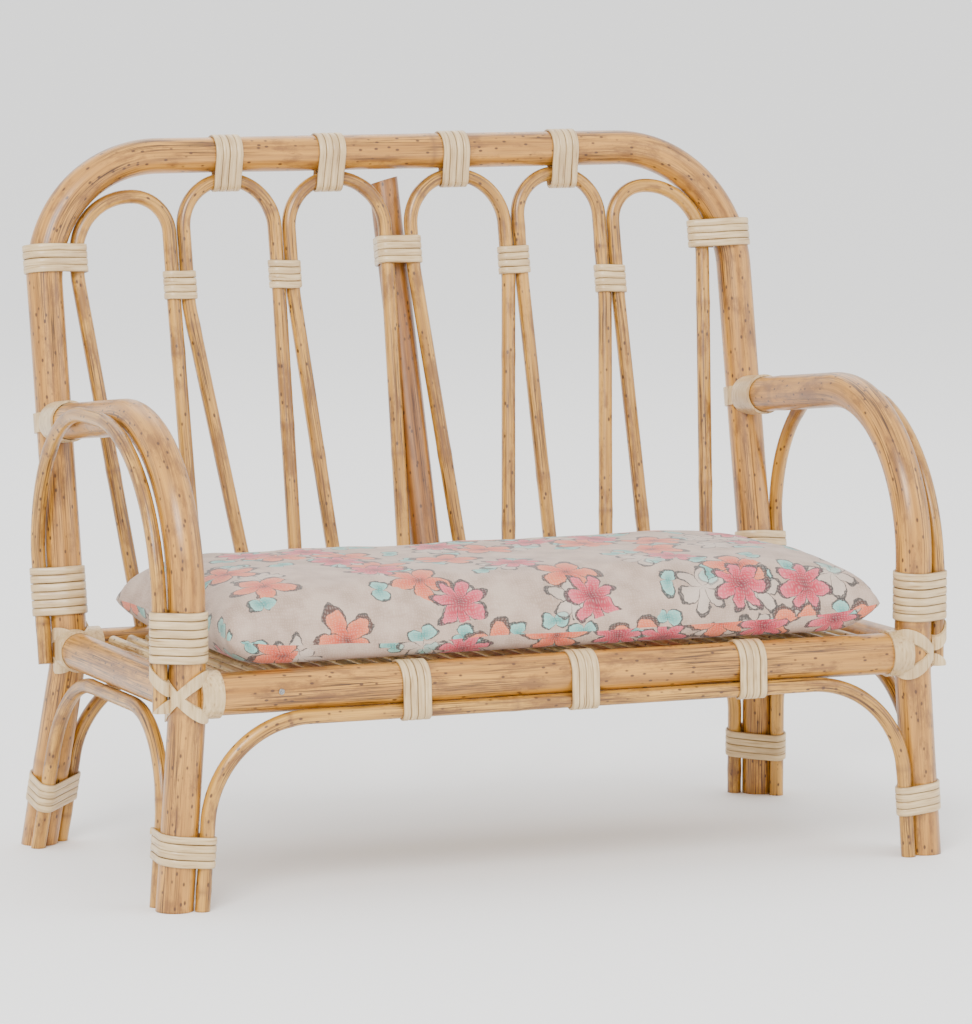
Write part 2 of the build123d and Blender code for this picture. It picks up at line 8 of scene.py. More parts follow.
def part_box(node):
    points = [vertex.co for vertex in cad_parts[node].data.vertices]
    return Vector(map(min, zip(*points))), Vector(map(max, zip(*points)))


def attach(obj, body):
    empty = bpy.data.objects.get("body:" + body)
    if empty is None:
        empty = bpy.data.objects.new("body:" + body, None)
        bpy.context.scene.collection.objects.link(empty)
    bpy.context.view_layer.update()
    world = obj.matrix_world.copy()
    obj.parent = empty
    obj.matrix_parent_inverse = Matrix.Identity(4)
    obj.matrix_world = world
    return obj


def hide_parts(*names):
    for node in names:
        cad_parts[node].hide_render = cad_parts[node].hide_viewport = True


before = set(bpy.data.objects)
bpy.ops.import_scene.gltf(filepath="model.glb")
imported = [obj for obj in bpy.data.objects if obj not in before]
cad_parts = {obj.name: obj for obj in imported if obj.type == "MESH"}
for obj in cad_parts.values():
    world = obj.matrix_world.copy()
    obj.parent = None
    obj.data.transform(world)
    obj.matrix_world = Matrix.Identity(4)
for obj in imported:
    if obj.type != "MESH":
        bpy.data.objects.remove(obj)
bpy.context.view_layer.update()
MM = 0.001

# ---------------------------------------------------------------- the maker's sizes, mm
SEAT_WIDTH, SEAT_DEPTH, SEAT_HEIGHT = 376.0, 172.0, 100.0
BACK_HEIGHT, ARM_HEIGHT = 338.5, 209.5
RECLINE, ARM_FALL = 11.0, 6.4
FRONT_SPLAY, REAR_SPLAY, REAR_RAKE, FRONT_BEND_DROP = 6.5, 10.0, 21.0, 10.0
MAIN_CANE, FRONT_RAIL_CANE, CENTRE_CANE = 18.0, 20.0, 15.0
STAY_CANE, THIN_CANE = 5.0, 7.2
PEEL_WIDTH, PEEL, FIT, BESIDE = 4.8, 1.1, 0.15, 0.4
BELOW_FLOOR = 15.0
HOOP_CORNER, HOOP_SEAT_BEND, FRONT_LEG_BEND = 63.0, 60.0, 90.0
ARM_BEND, ARCH_BEND, LEG_BEND = 78.0, 50.0, 60.0
LOOP_TOP_DROP, END_LOOP_REACH, END_LOOP_SHOULDERS = 19.8, 17.3, (32.0, 20.0)
TIE_NUDGES = (1.9, -1.7, 1.5, 4.4, -2.1)
TIE_DROPS = (64.0, 60.0, 49.0, 56.0, 67.0)
HOOP_TIE_DROPS = (49.5, 45.0)
LEG_DRIFTS = ((21.0, 1.6), (24.3, -1.8), (14.6, -3.1), (17.6, -13.7), (5.9, -12.6), (5.5, -12.7))
STRAIGHT_BELOW_TIE, CENTRE_PAIR, CENTRE_POST_LEAN, STAY_SIDE = 10.0, 7.1, 4.0, 8.2
ARM_LOOP_RISE, ARM_LOOP_END, ARM_LOOP_KINK, ARM_LOOP_LEAD = 11.5, 7.0, 50.0, 10.0
ARM_LOOP_BENDS = (85.0, 72.0, 40.0)
FRONT_FOOT_TURN, REAR_FOOT_TURN, SIDE_FOOT_TURN = 30.0, 18.0, 20.0
FOOT_TIE_HEIGHT, SEAT_TIE_RISE = 29.0, 28.0
TOP_WRAP_STEPS = (0.0, -3.0, -1.0, 3.5)
FRONT_WRAPS = (-77.0, 9.0, 97.0)
TURNS, SEAT_TURNS = 3, 5
STEP_FROM = 0.72            # share of a turn after which the peel steps over to the next
LINE_STEP = 2.0             # between the stations of a cane
SCAR_HALF, SWELL_HALF = 1.3, 4.0            # a leaf scar and the swelling round it, along the cane
UNEVEN, FLATS_LONG = 0.018, 45              # depth and length of the faint flats on a cane
RIM_POINTS, PEEL_STATIONS = 72, 56          # points round a cane, stations round a turn of peel
PEEL_GAP = 0.1              # between neighbouring turns

HALF_W, FRONT_Y, REAR_Y = SEAT_WIDTH / 2, -SEAT_DEPTH / 2, SEAT_DEPTH / 2
MAIN_R, THIN_R, FRONT_RAIL_R = MAIN_CANE / 2, THIN_CANE / 2, FRONT_RAIL_CANE / 2
SIN_BACK, COS_BACK = math.sin(math.radians(RECLINE)), math.cos(math.radians(RECLINE))
SIDES = (("left", -1), ("right", 1))
rail_low, rail_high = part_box("front_seat_rail")
SHIFT_Y = (rail_low.y + rail_high.y) / 2 / MM - FRONT_Y     # layout to the row's frame
BODY, PAD_BODY = "frame", "cushion"


def front_leg(side, z):
    bend_z = SEAT_HEIGHT - FRONT_BEND_DROP
    return Vector((side * (HALF_W + FRONT_SPLAY * max(0.0, bend_z - z) / bend_z), FRONT_Y, z))


def rear_leg(side, z):
    if z >= SEAT_HEIGHT:
        return Vector((side * HALF_W, REAR_Y + (z - SEAT_HEIGHT) * SIN_BACK / COS_BACK, z))
    share = (SEAT_HEIGHT - z) / SEAT_HEIGHT
    return Vector((side * (HALF_W + REAR_SPLAY * share), REAR_Y + REAR_RAKE * share, z))


def in_back(x, rise, behind=0.0):
    return Vector((x, REAR_Y + rise * SIN_BACK + behind * COS_BACK,
                   SEAT_HEIGHT + rise * COS_BACK - behind * SIN_BACK))


def rise_of(drop):
    return (BACK_HEIGHT - drop - SEAT_HEIGHT) / COS_BACK


# ---------------------------------------------------------------- lines
def bent(points, radii):
    """Straight runs joined by arcs, as evenly spaced places along the cane's axis."""
    runs = [b - a for a, b in zip(points, points[1:])]
    half = [a.angle(b) / 2 for a, b in zip(runs, runs[1:])]
    reach = [0.0] + [r * math.tan(h) for r, h in zip(radii, half)] + [0.0]
    share = [min(1.0, 0.99 * run.length / max(1e-6, reach[i] + reach[i + 1]))
             for i, run in enumerate(runs)]
    line = [points[0]]
    for i, radius in enumerate(radii):
        radius *= min(share[i], share[i + 1])
        into, out = runs[i].normalized(), runs[i + 1].normalized()
        start = points[i + 1] - into * radius * math.tan(half[i])
        axis = into.cross(out).normalized()
        centre = start + axis.cross(into) * radius
        count = max(2, math.ceil(radius * 2 * half[i] / LINE_STEP))
        for k in range(count + 1):
            line.append(centre + Quaternion(axis, 2 * half[i] * k / count) @ (start - centre))
    line.append(points[-1])
    even = [line[0].copy()]
    for a, b in zip(line, line[1:]):
        length = (b - a).length
        if length < 1e-5:
            continue
        pieces = max(1, round(length / LINE_STEP))
        even += [a.lerp(b, (k + 1) / pieces) for k in range(pieces)]
    return even


def frames_along(line):
    """(place, sideways, outwards, along, length so far), turned as little as possible."""
    found, side, length = [], None, 0.0
    for i, place in enumerate(line):
        along = (line[min(i + 1, len(line) - 1)] - line[max(i - 1, 0)]).normalized()
        if side is None:
            side = along.orthogonal().normalized()
        side = (side - along * side.dot(along)).normalized()
        if i:
            length += (place - line[i - 1]).length
        found.append((place, side, along.cross(side), along, length))
    return found


def swept(name, rings, grains, rings_of_joint=None, level=False):
    """Extrudes a first ring of vertices from station to station and closes both ends."""
    bm = bmesh.new()
    grain = bm.verts.layers.float_vector.new("grain")
    joint = bm.verts.layers.float.new("joint")
    row = [bm.verts.new(co) for co in rings[0]]
    edges = [bm.edges.new((a, b)) for a, b in zip(row, row[1:] + row[:1])]
    bm.faces.new(row)

    def mark(verts, station):
        for k, vert in enumerate(verts):
            vert.co = rings[station][k]
            vert[grain] = grains[station][k]
            vert[joint] = rings_of_joint[station] if rings_of_joint else 0.0

    mark(row, 0)
    for station in range(1, len(rings)):
        new = bmesh.ops.extrude_edge_only(bm, edges=edges)["geom"]
        fresh = {v for v in new if isinstance(v, bmesh.types.BMVert)}
        row = [next(e.other_vert(v) for e in v.link_edges if e.other_vert(v) in fresh) for v in row]
        edges = [bm.edges.get((a, b)) for a, b in zip(row, row[1:] + row[:1])]
        mark(row, station)
    bm.faces.new(row)
    if level:
        parts = bm.verts[:] + bm.edges[:] + bm.faces[:]
        cut = bmesh.ops.bisect_plane(bm, geom=parts, plane_co=(0, 0, 0), plane_no=(0, 0, 1), clear_inner=True)
        rim = [e for e in cut["geom_cut"] if isinstance(e, bmesh.types.BMEdge)]
        bmesh.ops.holes_fill(bm, edges=rim, sides=0)
    bmesh.ops.recalc_face_normals(bm, faces=bm.faces)
    for face in bm.faces:
        face.smooth = len(face.verts) == 4
    return made(name, bm)


def made(name, bm):
    """Turns a bmesh in millimetres of the layout into an object in the row's frame."""
    bmesh.ops.transform(bm, matrix=Matrix.Scale(MM, 4) @ Matrix.Translation((0, SHIFT_Y, 0)), verts=bm.verts)
    mesh = bpy.data.meshes.new(name)
    bm.to_mesh(mesh)
    bm.free()
    piece = bpy.data.objects.new(name, mesh)
    bpy.context.collection.objects.link(piece)
    return piece


def placed(piece, material, slot, body, *nodes):
    piece.data.materials.clear()
    piece.data.materials.append(material)
    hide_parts(*nodes)
    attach(piece, body)


# ---------------------------------------------------------------- materials
def sRGB(code):
    """A hex colour as the linear values the shader wants."""
    parts = [int(code[i:i + 2], 16) / 255 for i in (1, 3, 5)]
    return tuple(c / 12.92 if c <= 0.04045 else ((c + 0.055) / 1.055) ** 2.4 for c in parts) + (1.0,)


def add(tree, kind, inputs=None, ramp=None, **settings):
    """Adds one node with its settings; each input is a value or a socket to link."""
    node = tree.nodes.new("ShaderNode" + kind)
    for key, value in settings.items():
        setattr(node, key, value)
    for key, value in (inputs or {}).items():
        if isinstance(value, bpy.types.NodeSocket):
            tree.links.new(value, node.inputs[key])
        else:
            node.inputs[key].default_value = value
    if ramp:
        bar = node.color_ramp.elements
        while len(bar) < len(ramp):
            bar.new(0.5)
        for element, (place, colour) in zip(bar, ramp):
            element.position, element.color = place, colour
    return node


def grey(value):
    return (value, value, value, 1.0)


def material(name):
    made_one = bpy.data.materials.new(name)
    made_one.use_nodes = True
    tree = made_one.node_tree
    return made_one, tree, tree.nodes["Principled BSDF"]


def mixed(tree, share, a, b):
    node = add(tree, "Mix", data_type="RGBA")
    for index, value in ((0, share), (6, a), (7, b)):
        if isinstance(value, bpy.types.NodeSocket):
            tree.links.new(value, node.inputs[index])
        else:
            node.inputs[index].default_value = value
    return node.outputs[2]


def grain_of(tree, turn):
    """Where a place lies along and round its cane: the piece's own, or by turning the frame."""
    if turn is None:
        return add(tree, "Attribute", attribute_name="grain").outputs["Vector"]
    place = add(tree, "TexCoord").outputs["Object"]
    return add(tree, "Mapping", {"Vector": place, "Rotation": turn}).outputs["Vector"]


def streaks(tree, along, scale, detail, **rough):
    """Noise drawn out along the grain; the scale is per metre across, across and along it."""
    co = add(tree, "Mapping", {"Vector": along, "Scale": scale}).outputs["Vector"]
    return add(tree, "TexNoise", {"Vector": co, "Scale": 1.0, "Detail": detail, **rough}).outputs["Fac"]


def ramped(tree, value, *stops):
    return add(tree, "ValToRGB", {"Fac": value}, ramp=stops).outputs["Color"]


def bumped(tree, skin, height, strength, distance):
    bump = add(tree, "Bump", {"Height": height, "Strength": strength, "Distance": distance})
    tree.links.new(bump.outputs["Normal"], skin.inputs["Normal"])


def cane_finish(name, pale, warm, dark, turn=None, coat=0.35):
    """Rattan pole, skin on, rubbed with clear lacquer: the fibres run along the cane in
    fine brown lines, the skin between them is honey and shines like satin."""
    made_one, tree, skin = material(name)
    along = grain_of(tree, turn)
    # fibre lines about 0.6 mm apart and 30 mm long
    fibre = streaks(tree, along, (1600, 1600, 33), 4.0, Roughness=0.6)
    # wider bands of colour, about 3 mm round the cane and 60 mm along it
    band = streaks(tree, along, (330, 330, 16), 3.0)
    shade = ramped(tree, band, (0.3, sRGB(warm)), (0.62, sRGB(pale)))
    lines = ramped(tree, fibre, (0.38, grey(1.0)), (0.54, grey(0.0)))
    # the brown fibre lines show in zones about 70 mm long, and only faintly between them
    zone = streaks(tree, along, (95, 95, 14), 2.0)
    zone = add(tree, "MapRange", {"Value": zone, "From Min": 0.42, "From Max": 0.58, "To Min": 0.22,
                                  "To Max": 1.0}).outputs["Result"]
    lines = add(tree, "Math", {0: lines, 1: zone}, operation="MULTIPLY").outputs[0]
    shade = mixed(tree, lines, shade, sRGB(dark))
    # brown mottling where the skin was bruised or sun-stained, in patches of about 20 mm
    stain = streaks(tree, along, (120, 120, 45), 6.0, Roughness=0.7)
    stain = ramped(tree, stain, (0.5, grey(0.0)), (0.62, grey(0.72)))
    shade = mixed(tree, stain, shade, sRGB("#74481C"))
    # small dark pits, up to 0.8 mm across
    pit_co = add(tree, "Mapping", {"Vector": along, "Scale": (300, 300, 170)}).outputs["Vector"]
    pit = add(tree, "TexVoronoi", {"Vector": pit_co, "Scale": 1.0}).outputs["Distance"]
    pit = ramped(tree, pit, (0.13, grey(0.95)), (0.22, grey(0.0)))
    shade = mixed(tree, pit, shade, sRGB("#4E2E12"))
    # the leaf scars round the cane are darker
    scar = add(tree, "Attribute", attribute_name="joint").outputs["Fac"]
    scar = add(tree, "Math", {0: scar, 1: 0.7}, operation="MULTIPLY").outputs[0]
    shade = mixed(tree, scar, shade, sRGB("#7A5028"))
    tree.links.new(shade, skin.inputs["Base Color"])
    rough = add(tree, "MapRange", {"Value": fibre, "To Min": 0.42, "To Max": 0.27}).outputs["Result"]
    tree.links.new(rough, skin.inputs["Roughness"])
    bumped(tree, skin, fibre, 0.35, 0.00025)
    skin.inputs["Coat Weight"].default_value = coat
    skin.inputs["Coat Roughness"].default_value = 0.28
    return made_one


def peel_finish(name, turn=None):
    """Flat rattan peel, split and wound damp: cream, glossy on the skin side, with faint
    lengthwise flecks."""
    made_one, tree, skin = material(name)
    along = grain_of(tree, turn)
    # flecks 0.5 mm wide and 8 mm long
    fleck = streaks(tree, along, (900, 900, 70), 3.0)
    shade = ramped(tree, fleck, (0.26, sRGB("#8F6A3A")), (0.4, sRGB("#C6A878")), (0.68, sRGB("#DCC294")))
    # duller lengths where the strip dried, and painted shade on the strip's rounded edges, darkening the
    # grooves between neighbouring turns
    dull = streaks(tree, along, (60, 60, 45), 3.0)
    dull = add(tree, "MapRange", {"Value": dull, "From Min": 0.45, "From Max": 0.7,
                                  "To Max": 0.6}).outputs["Result"]
    shade = mixed(tree, dull, shade, sRGB("#A98A60"))
    # painted shade: the strip darkens over its rounded edges, towards the groove beside the next turn
    if turn is None:
        across = add(tree, "SeparateXYZ", {"Vector": along}).outputs["X"]
        edge = add(tree, "Math", {0: across}, operation="ABSOLUTE").outputs[0]
        edge = add(tree, "MapRange", {"Value": edge, "From Min": 0.0014, "From Max": 0.0019,
                                      "To Max": 0.75}).outputs["Result"]
        shade = mixed(tree, edge, shade, sRGB("#7C5C34"))
    tree.links.new(shade, skin.inputs["Base Color"])
    skin.inputs["Roughness"].default_value = 0.36
    skin.inputs["Coat Weight"].default_value = 0.25
    skin.inputs["Coat Roughness"].default_value = 0.3
    bumped(tree, skin, fleck, 0.12, 0.0002)
    return made_one


def nail_finish():
    """Wire nail, cut and left bright: grey steel, dulled in patches."""
    made_one, tree, skin = material("bright_wire_nail_steel")
    place = add(tree, "TexCoord").outputs["Object"]
    dull = add(tree, "TexNoise", {"Vector": place, "Scale": 1500.0, "Detail": 3.0}).outputs["Fac"]
    shade = ramped(tree, dull, (0.35, sRGB("#6E6C69")), (0.65, sRGB("#A9A8A5")))
    rough = add(tree, "MapRange", {"Value": dull, "To Min": 0.55, "To Max": 0.3}).outputs["Result"]
    tree.links.new(shade, skin.inputs["Base Color"])
    tree.links.new(rough, skin.inputs["Roughness"])
    skin.inputs["Metallic"].default_value = 1.0
    return made_one


UPRIGHT, ALONG_X, ALONG_Y = (0, 0, 0), (0, math.pi / 2, 0), (math.pi / 2, 0, 0)
# the centre post leans back by its own thickness over the height of its tie as well
post_rise = rise_of(TIE_DROPS[2])
post_way = in_back(-CENTRE_POST_LEAN, post_rise, (THIN_CANE + CENTRE_CANE) / 2 + BESIDE) - in_back(0, 0)
POST_TURN = post_way.rotation_difference(Vector((0, 0, 1))).to_euler()
HONEY = ("#CB903A", "#A06A22", "#42260A")
GOLD = ("#CE983F", "#A87528", "#4A2B0C")
pole = cane_finish("lacquered_rattan_pole", *HONEY)
thin = cane_finish("lacquered_thin_rattan", *GOLD)
pole_x = cane_finish("lacquered_rattan_rail_across", *HONEY, turn=ALONG_X)
pole_y = cane_finish("lacquered_rattan_rail_deep", *HONEY, turn=ALONG_Y)
pole_z = cane_finish("lacquered_rattan_post", "#A8702E", "#7E4B1A", "#43230A", turn=POST_TURN)
thin_x = cane_finish("thin_rattan_ledger", *GOLD, turn=ALONG_X)
thin_y = cane_finish("peeled_rattan_core_slats", "#DDC48E", "#BF9A5C", "#8A6230", turn=ALONG_Y, coat=0.1)
thin_z = cane_finish("thin_rattan_stay", *GOLD, turn=POST_TURN)
peel = peel_finish("wound_rattan_peel")
peel_z = peel_finish("crossed_rattan_peel", turn=UPRIGHT)
nail = nail_finish()


# ---------------------------------------------------------------- canes
def cane(node, line, diameter, finish, slot, joints, seed, level=False):
    """A round cane with leaf scars, a slightly uneven girth and faint flats."""
    rnd = random.Random(seed)
    count = 28 if diameter > 10 else 16
    swell = 0.02 if diameter > 10 else 0.05
    frames = frames_along(line)
    total = frames[-1][4]
    places, at = [], rnd.uniform(0.2, 0.8) * joints
    while at < total:
        places.append(at)
        at += joints * rnd.uniform(0.75, 1.25)
    rings, grains, scars = [], [], []
    for place, side, out, along, length in frames:
        near = min((abs(length - p) for p in places), default=99.0)
        scar = math.exp(-(near / SCAR_HALF) ** 2)
        base = diameter / 2 * (1 + swell * math.exp(-(near / SWELL_HALF) ** 2) - 0.01)
        ring, grain = [], []
        for k in range(count):
            turn = 2 * math.pi * k / count
            c, s = math.cos(turn), math.sin(turn)
            flat = noise.noise(Vector((c * 1.6, s * 1.6, length / FLATS_LONG + seed)))
            radius = base * (1 + UNEVEN * flat)
            ring.append(place + side * c * radius + out * s * radius)
            grain.append(Vector((c * radius, s * radius, length + seed * 137)) * MM)
        rings.append(ring)
        grains.append(grain)
        scars.append(scar)
    piece = swept(node + "_cane", rings, grains, scars, level)
    placed(piece, finish, slot, BODY, node)


hoop_line = bent([rear_leg(-1, -BELOW_FLOOR), rear_leg(-1, SEAT_HEIGHT), rear_leg(-1, BACK_HEIGHT),
                  rear_leg(1, BACK_HEIGHT), rear_leg(1, SEAT_HEIGHT), rear_leg(1, -BELOW_FLOOR)],
                 [HOOP_SEAT_BEND, HOOP_CORNER, HOOP_CORNER, HOOP_SEAT_BEND])
cane("back_hoop", hoop_line, MAIN_CANE, pole, "main_cane", 210, 1, level=True)

arm_end = {side: rear_leg(side, ARM_HEIGHT) for _, side in SIDES}
arm_corner_z = ARM_HEIGHT + (arm_end[1].y - FRONT_Y) * math.tan(math.radians(ARM_FALL))
arm_loop_x = HALF_W + MAIN_R + THIN_R + BESIDE
kink = rear_leg(1, SEAT_HEIGHT + ARM_LOOP_KINK)
arm_loop_top, arm_loop_foot = ARM_HEIGHT + ARM_LOOP_RISE, SEAT_HEIGHT - ARM_LOOP_END
for number, (name, side) in enumerate(SIDES):
    line = bent([front_leg(side, -BELOW_FLOOR), front_leg(side, SEAT_HEIGHT - FRONT_BEND_DROP),
                 Vector((side * HALF_W, FRONT_Y, arm_corner_z)), arm_end[side]],
                [FRONT_LEG_BEND, ARM_BEND])
    cane(f"arm_pole_{name}", line, MAIN_CANE, pole, "main_cane", 190, 5 + number, level=True)
    x = side * arm_loop_x
    foot_y = REAR_Y - ARM_LOOP_END * SIN_BACK / COS_BACK
    line = bent([Vector((x, FRONT_Y, arm_loop_foot)), Vector((x, FRONT_Y, arm_loop_top)),
                 Vector((x, kink.y - ARM_LOOP_LEAD, arm_loop_top)), Vector((x, kink.y, kink.z)),
                 Vector((x, foot_y, arm_loop_foot))], ARM_LOOP_BENDS)
    cane(f"arm_loop_{name}", line, THIN_CANE, thin, "thin_cane", 95, 11 + number)

slot_width = (HALF_W - MAIN_R) / 3
tie_x = [slot_width * (i - 2) + nudge for i, nudge in enumerate(TIE_NUDGES)]
tie_rise = [rise_of(drop) for drop in TIE_DROPS]
hoop_tie_rise = [rise_of(drop) for drop in HOOP_TIE_DROPS]
pair = (THIN_CANE + BESIDE) / 2
half_gaps = [pair, pair, CENTRE_PAIR, pair, pair]
end_leg_x = HALF_W - END_LOOP_REACH
left_x = [-end_leg_x] + [tie_x[i] + half_gaps[i] for i in range(5)]
right_x = [tie_x[i] - half_gaps[i] for i in range(5)] + [end_leg_x]
left_rise, right_rise = [hoop_tie_rise[0]] + tie_rise, tie_rise + [hoop_tie_rise[1]]
under_top_rail = rise_of(0) - (MAIN_R + THIN_R + FIT)
end_loop_top = rise_of(LOOP_TOP_DROP)


def end_shoulders(i):
    share = min(1.0, 0.98 * (right_x[i] - left_x[i]) / sum(END_LOOP_SHOULDERS))
    return [radius * share for radius in END_LOOP_SHOULDERS]


for i in range(6):
    ends = i in (0, 5)
    top = end_loop_top if ends else under_top_rail
    shoulders = [(right_x[i] - left_x[i]) / 2] * 2
    if ends:
        shoulders = end_shoulders(i) if i == 0 else end_shoulders(i)[::-1]
    line = bent([in_back(left_x[i] + LEG_DRIFTS[i][0], 5),
                 in_back(left_x[i], left_rise[i] - STRAIGHT_BELOW_TIE),
                 in_back(left_x[i], top), in_back(right_x[i], top),
                 in_back(right_x[i], right_rise[i] - STRAIGHT_BELOW_TIE),
                 in_back(right_x[i] + LEG_DRIFTS[i][1], 5)], [LEG_BEND] + shoulders + [LEG_BEND])
    cane(f"back_loop_{i + 1}", line, THIN_CANE, thin, "thin_cane", 110, 20 + i)

foot_reach = MAIN_R + THIN_R + BESIDE


def beside_foot(side, turn, across, along):
    turn = math.radians(turn)
    if across:
        return Vector((-side * math.cos(turn), along * math.sin(turn), 0)) * foot_reach
    return Vector((side * math.sin(turn), along * math.cos(turn), 0)) * foot_reach


def height_under(rail_radius, reach):
    clear = rail_radius + THIN_R + FIT
    z = SEAT_HEIGHT - clear
    for _ in range(5):
        z = SEAT_HEIGHT - math.sqrt(clear**2 - reach(z) ** 2)
    return z


front_step = {side: beside_foot(side, FRONT_FOOT_TURN, True, -1) for _, side in SIDES}
rear_step = {side: beside_foot(side, REAR_FOOT_TURN, True, 1) for _, side in SIDES}
front_side_step = {side: beside_foot(side, SIDE_FOOT_TURN, False, 1) for _, side in SIDES}
rear_side_step = {side: beside_foot(side, SIDE_FOOT_TURN, False, -1) for _, side in SIDES}
front_apron_z = height_under(FRONT_RAIL_R, lambda z: front_step[1].y)
rear_apron_z = height_under(MAIN_R, lambda z: rear_leg(1, z).y + rear_step[1].y - REAR_Y)
side_arch_z = height_under(MAIN_R, lambda z: front_side_step[1].x)


def arch(node, a, b, step_a, step_b, z, seed):
    line = bent([a(-BELOW_FLOOR) + step_a, a(z) + step_a, b(z) + step_b, b(-BELOW_FLOOR) + step_b],
                [ARCH_BEND, ARCH_BEND])
    cane(node, line, THIN_CANE, thin, "thin_cane", 120, seed, level=True)


arch("front_apron_arch", lambda z: front_leg(-1, z), lambda z: front_leg(1, z),
     front_step[-1], front_step[1], front_apron_z, 31)
arch("rear_apron_arch", lambda z: rear_leg(-1, z), lambda z: rear_leg(1, z),
     rear_step[-1], rear_step[1], rear_apron_z, 32)
for number, (name, side) in enumerate(SIDES):
    arch(f"side_arch_{name}", lambda z: front_leg(side, z), lambda z: rear_leg(side, z),
         front_side_step[side], rear_side_step[side], side_arch_z, 33 + number)


# ---------------------------------------------------------------- bindings
def bound(node, centre, direction, canes, turns, seed):
    """One strip of peel wound round the canes, with both cut ends standing off a little."""
    rnd = random.Random(seed)
    along = Vector(direction).normalized()
    side = along.orthogonal().normalized()
    out = along.cross(side)
    dots = []
    for point, diameter in canes:
        away = point - centre
        x, y, radius = away.dot(side), away.dot(out), diameter / 2 + FIT
        for k in range(RIM_POINTS):
            turn = 2 * math.pi * k / RIM_POINTS
            dots.append(Vector((x + radius * math.cos(turn), y + radius * math.sin(turn))))
    rim = [dots[k] for k in geometry.convex_hull_2d(dots)]
    lengths = [(b - a).length for a, b in zip(rim, rim[1:] + rim[:1])]
    total, per_turn = sum(lengths), PEEL_STATIONS
    spots, k, gone = [], 0, 0.0
    for n in range(per_turn):
        want = total * n / per_turn
        while gone + lengths[k] < want:
            gone += lengths[k]
            k += 1
        spots.append(rim[k].lerp(rim[(k + 1) % len(rim)], (want - gone) / lengths[k]))
    # the strip is a little narrower than a turn of the solid band, and lies one turn more often
    pitch = PEEL_WIDTH * turns / (turns + 1)
    turns += 1
    width = pitch - PEEL_GAP
    profile = [(-0.5, 0.0), (-0.49, 0.62), (-0.4, 0.94), (0.0, 1.0),
               (0.4, 0.94), (0.49, 0.62), (0.5, 0.0)]
    last = turns * per_turn
    rings, grains = [], []
    hidden = Vector((0, 1, -0.3))
    start = max(range(per_turn), key=lambda n: (side * spots[n].x + out * spots[n].y).dot(hidden))
    tilt, lean_turn = rnd.uniform(0.25, 0.7), rnd.uniform(0, math.pi)
    for n in range(-3, last + 4):
        here = spots[(n + start) % per_turn]
        ahead, back = spots[(n + 1 + start) % per_turn], spots[(n - 1 + start) % per_turn]
        tangent = (ahead - back).normalized()
        away = Vector((tangent.y, -tangent.x))
        if away.dot(here) < 0:
            away = -away
        at = min(max(n, 0), last) / per_turn
        whole = min(int(at), turns - 1)
        part = 0.0
        if whole < turns - 1:
            part = min(1.0, max(0.0, (at - whole - STEP_FROM) / (1 - STEP_FROM)))
        level = (whole + part * part * (3 - 2 * part) - (turns - 1) / 2) * pitch
        level += 0.3 * noise.noise(Vector((at * 1.3, seed, 5.0)))
        level += tilt * math.sin(2 * math.pi * at + lean_turn)
        over = max(0, -n, n - last)
        lift = 0.25 * over + 0.12 * noise.noise(Vector((n / 9, seed, 0)))
        ring, grain = [], []
        for across, height in profile:
            flat = here + away * (height * PEEL * 0.95 + max(0.0, lift))
            spot = centre + side * flat.x + out * flat.y + along * (level + across * width)
            ring.append(spot)
            grain.append(Vector((across * width, height, n * total / per_turn + seed * 31)) * MM)
        rings.append(ring)
        grains.append(grain)
    piece = swept(node + "_peel", rings, grains)
    placed(piece, peel, "peel", BODY, node)


def lean_at(rise, top, radius):
    return math.cos(math.asin(max(0.0, rise - (top - radius)) / radius))


back_up = (in_back(0, 1) - in_back(0, 0)).normalized()
half_band = TURNS * PEEL_WIDTH / 2
for i, step in enumerate(TOP_WRAP_STEPS):
    x = (left_x[i + 1] + right_x[i + 1]) / 2 + step
    rail = in_back(x, rise_of(0))
    shoulder = (right_x[i + 1] - left_x[i + 1]) / 2
    slope = math.asin((abs(step) + half_band) / shoulder)
    sag = shoulder * (1 - math.cos(slope)) + THIN_R * (1 / math.cos(slope) - 1)
    bound(f"top_rail_wrap_{i + 1}", rail, (1, 0, 0),
          [(rail, MAIN_CANE), (in_back(x, under_top_rail), THIN_CANE),
           (in_back(x, under_top_rail - sag), THIN_CANE)], TURNS, 41 + i)
for i, (name, side), rise in zip((0, 5), SIDES, hoop_tie_rise):
    canes = []
    for end in (rise - half_band, rise + half_band):
        for axis_x, diameter, top, radius in ((HALF_W, MAIN_CANE, rise_of(0), HOOP_CORNER),
                                              (end_leg_x, THIN_CANE, end_loop_top, end_shoulders(i)[0])):
            lean = lean_at(end, top, radius)
            canes.append((in_back(side * (axis_x - radius * (1 - lean)), rise), diameter / lean))
    bound(f"hoop_tie_{name}", in_back(side * (HALF_W - 4), rise), back_up, canes, TURNS, 51 + i)

centre_behind = (THIN_CANE + CENTRE_CANE) / 2 + BESIDE
stay_back = math.sqrt(((CENTRE_CANE + STAY_CANE) / 2 + BESIDE) ** 2 - STAY_SIDE**2)


def centre_line(rise, side_step=0.0, back_step=0.0):
    share = rise / tie_rise[2]
    x = tie_x[2] + CENTRE_POST_LEAN * (1 - share) + side_step
    return in_back(x, rise, centre_behind * share + back_step)


for i in range(5):
    canes = [(in_back(tie_x[i] + step, tie_rise[i]), THIN_CANE)
             for step in (-half_gaps[i], half_gaps[i])]
    middle = in_back(tie_x[i], tie_rise[i])
    if i == 2:
        for rise in (tie_rise[2] - half_band, tie_rise[2] + half_band):
            canes.append((centre_line(rise), CENTRE_CANE))
            canes.append((centre_line(rise, STAY_SIDE, stay_back), STAY_CANE))
        middle = (middle + centre_line(tie_rise[2])) / 2
    bound(f"loop_tie_{i + 1}", middle, back_up, canes, TURNS, 61 + i)

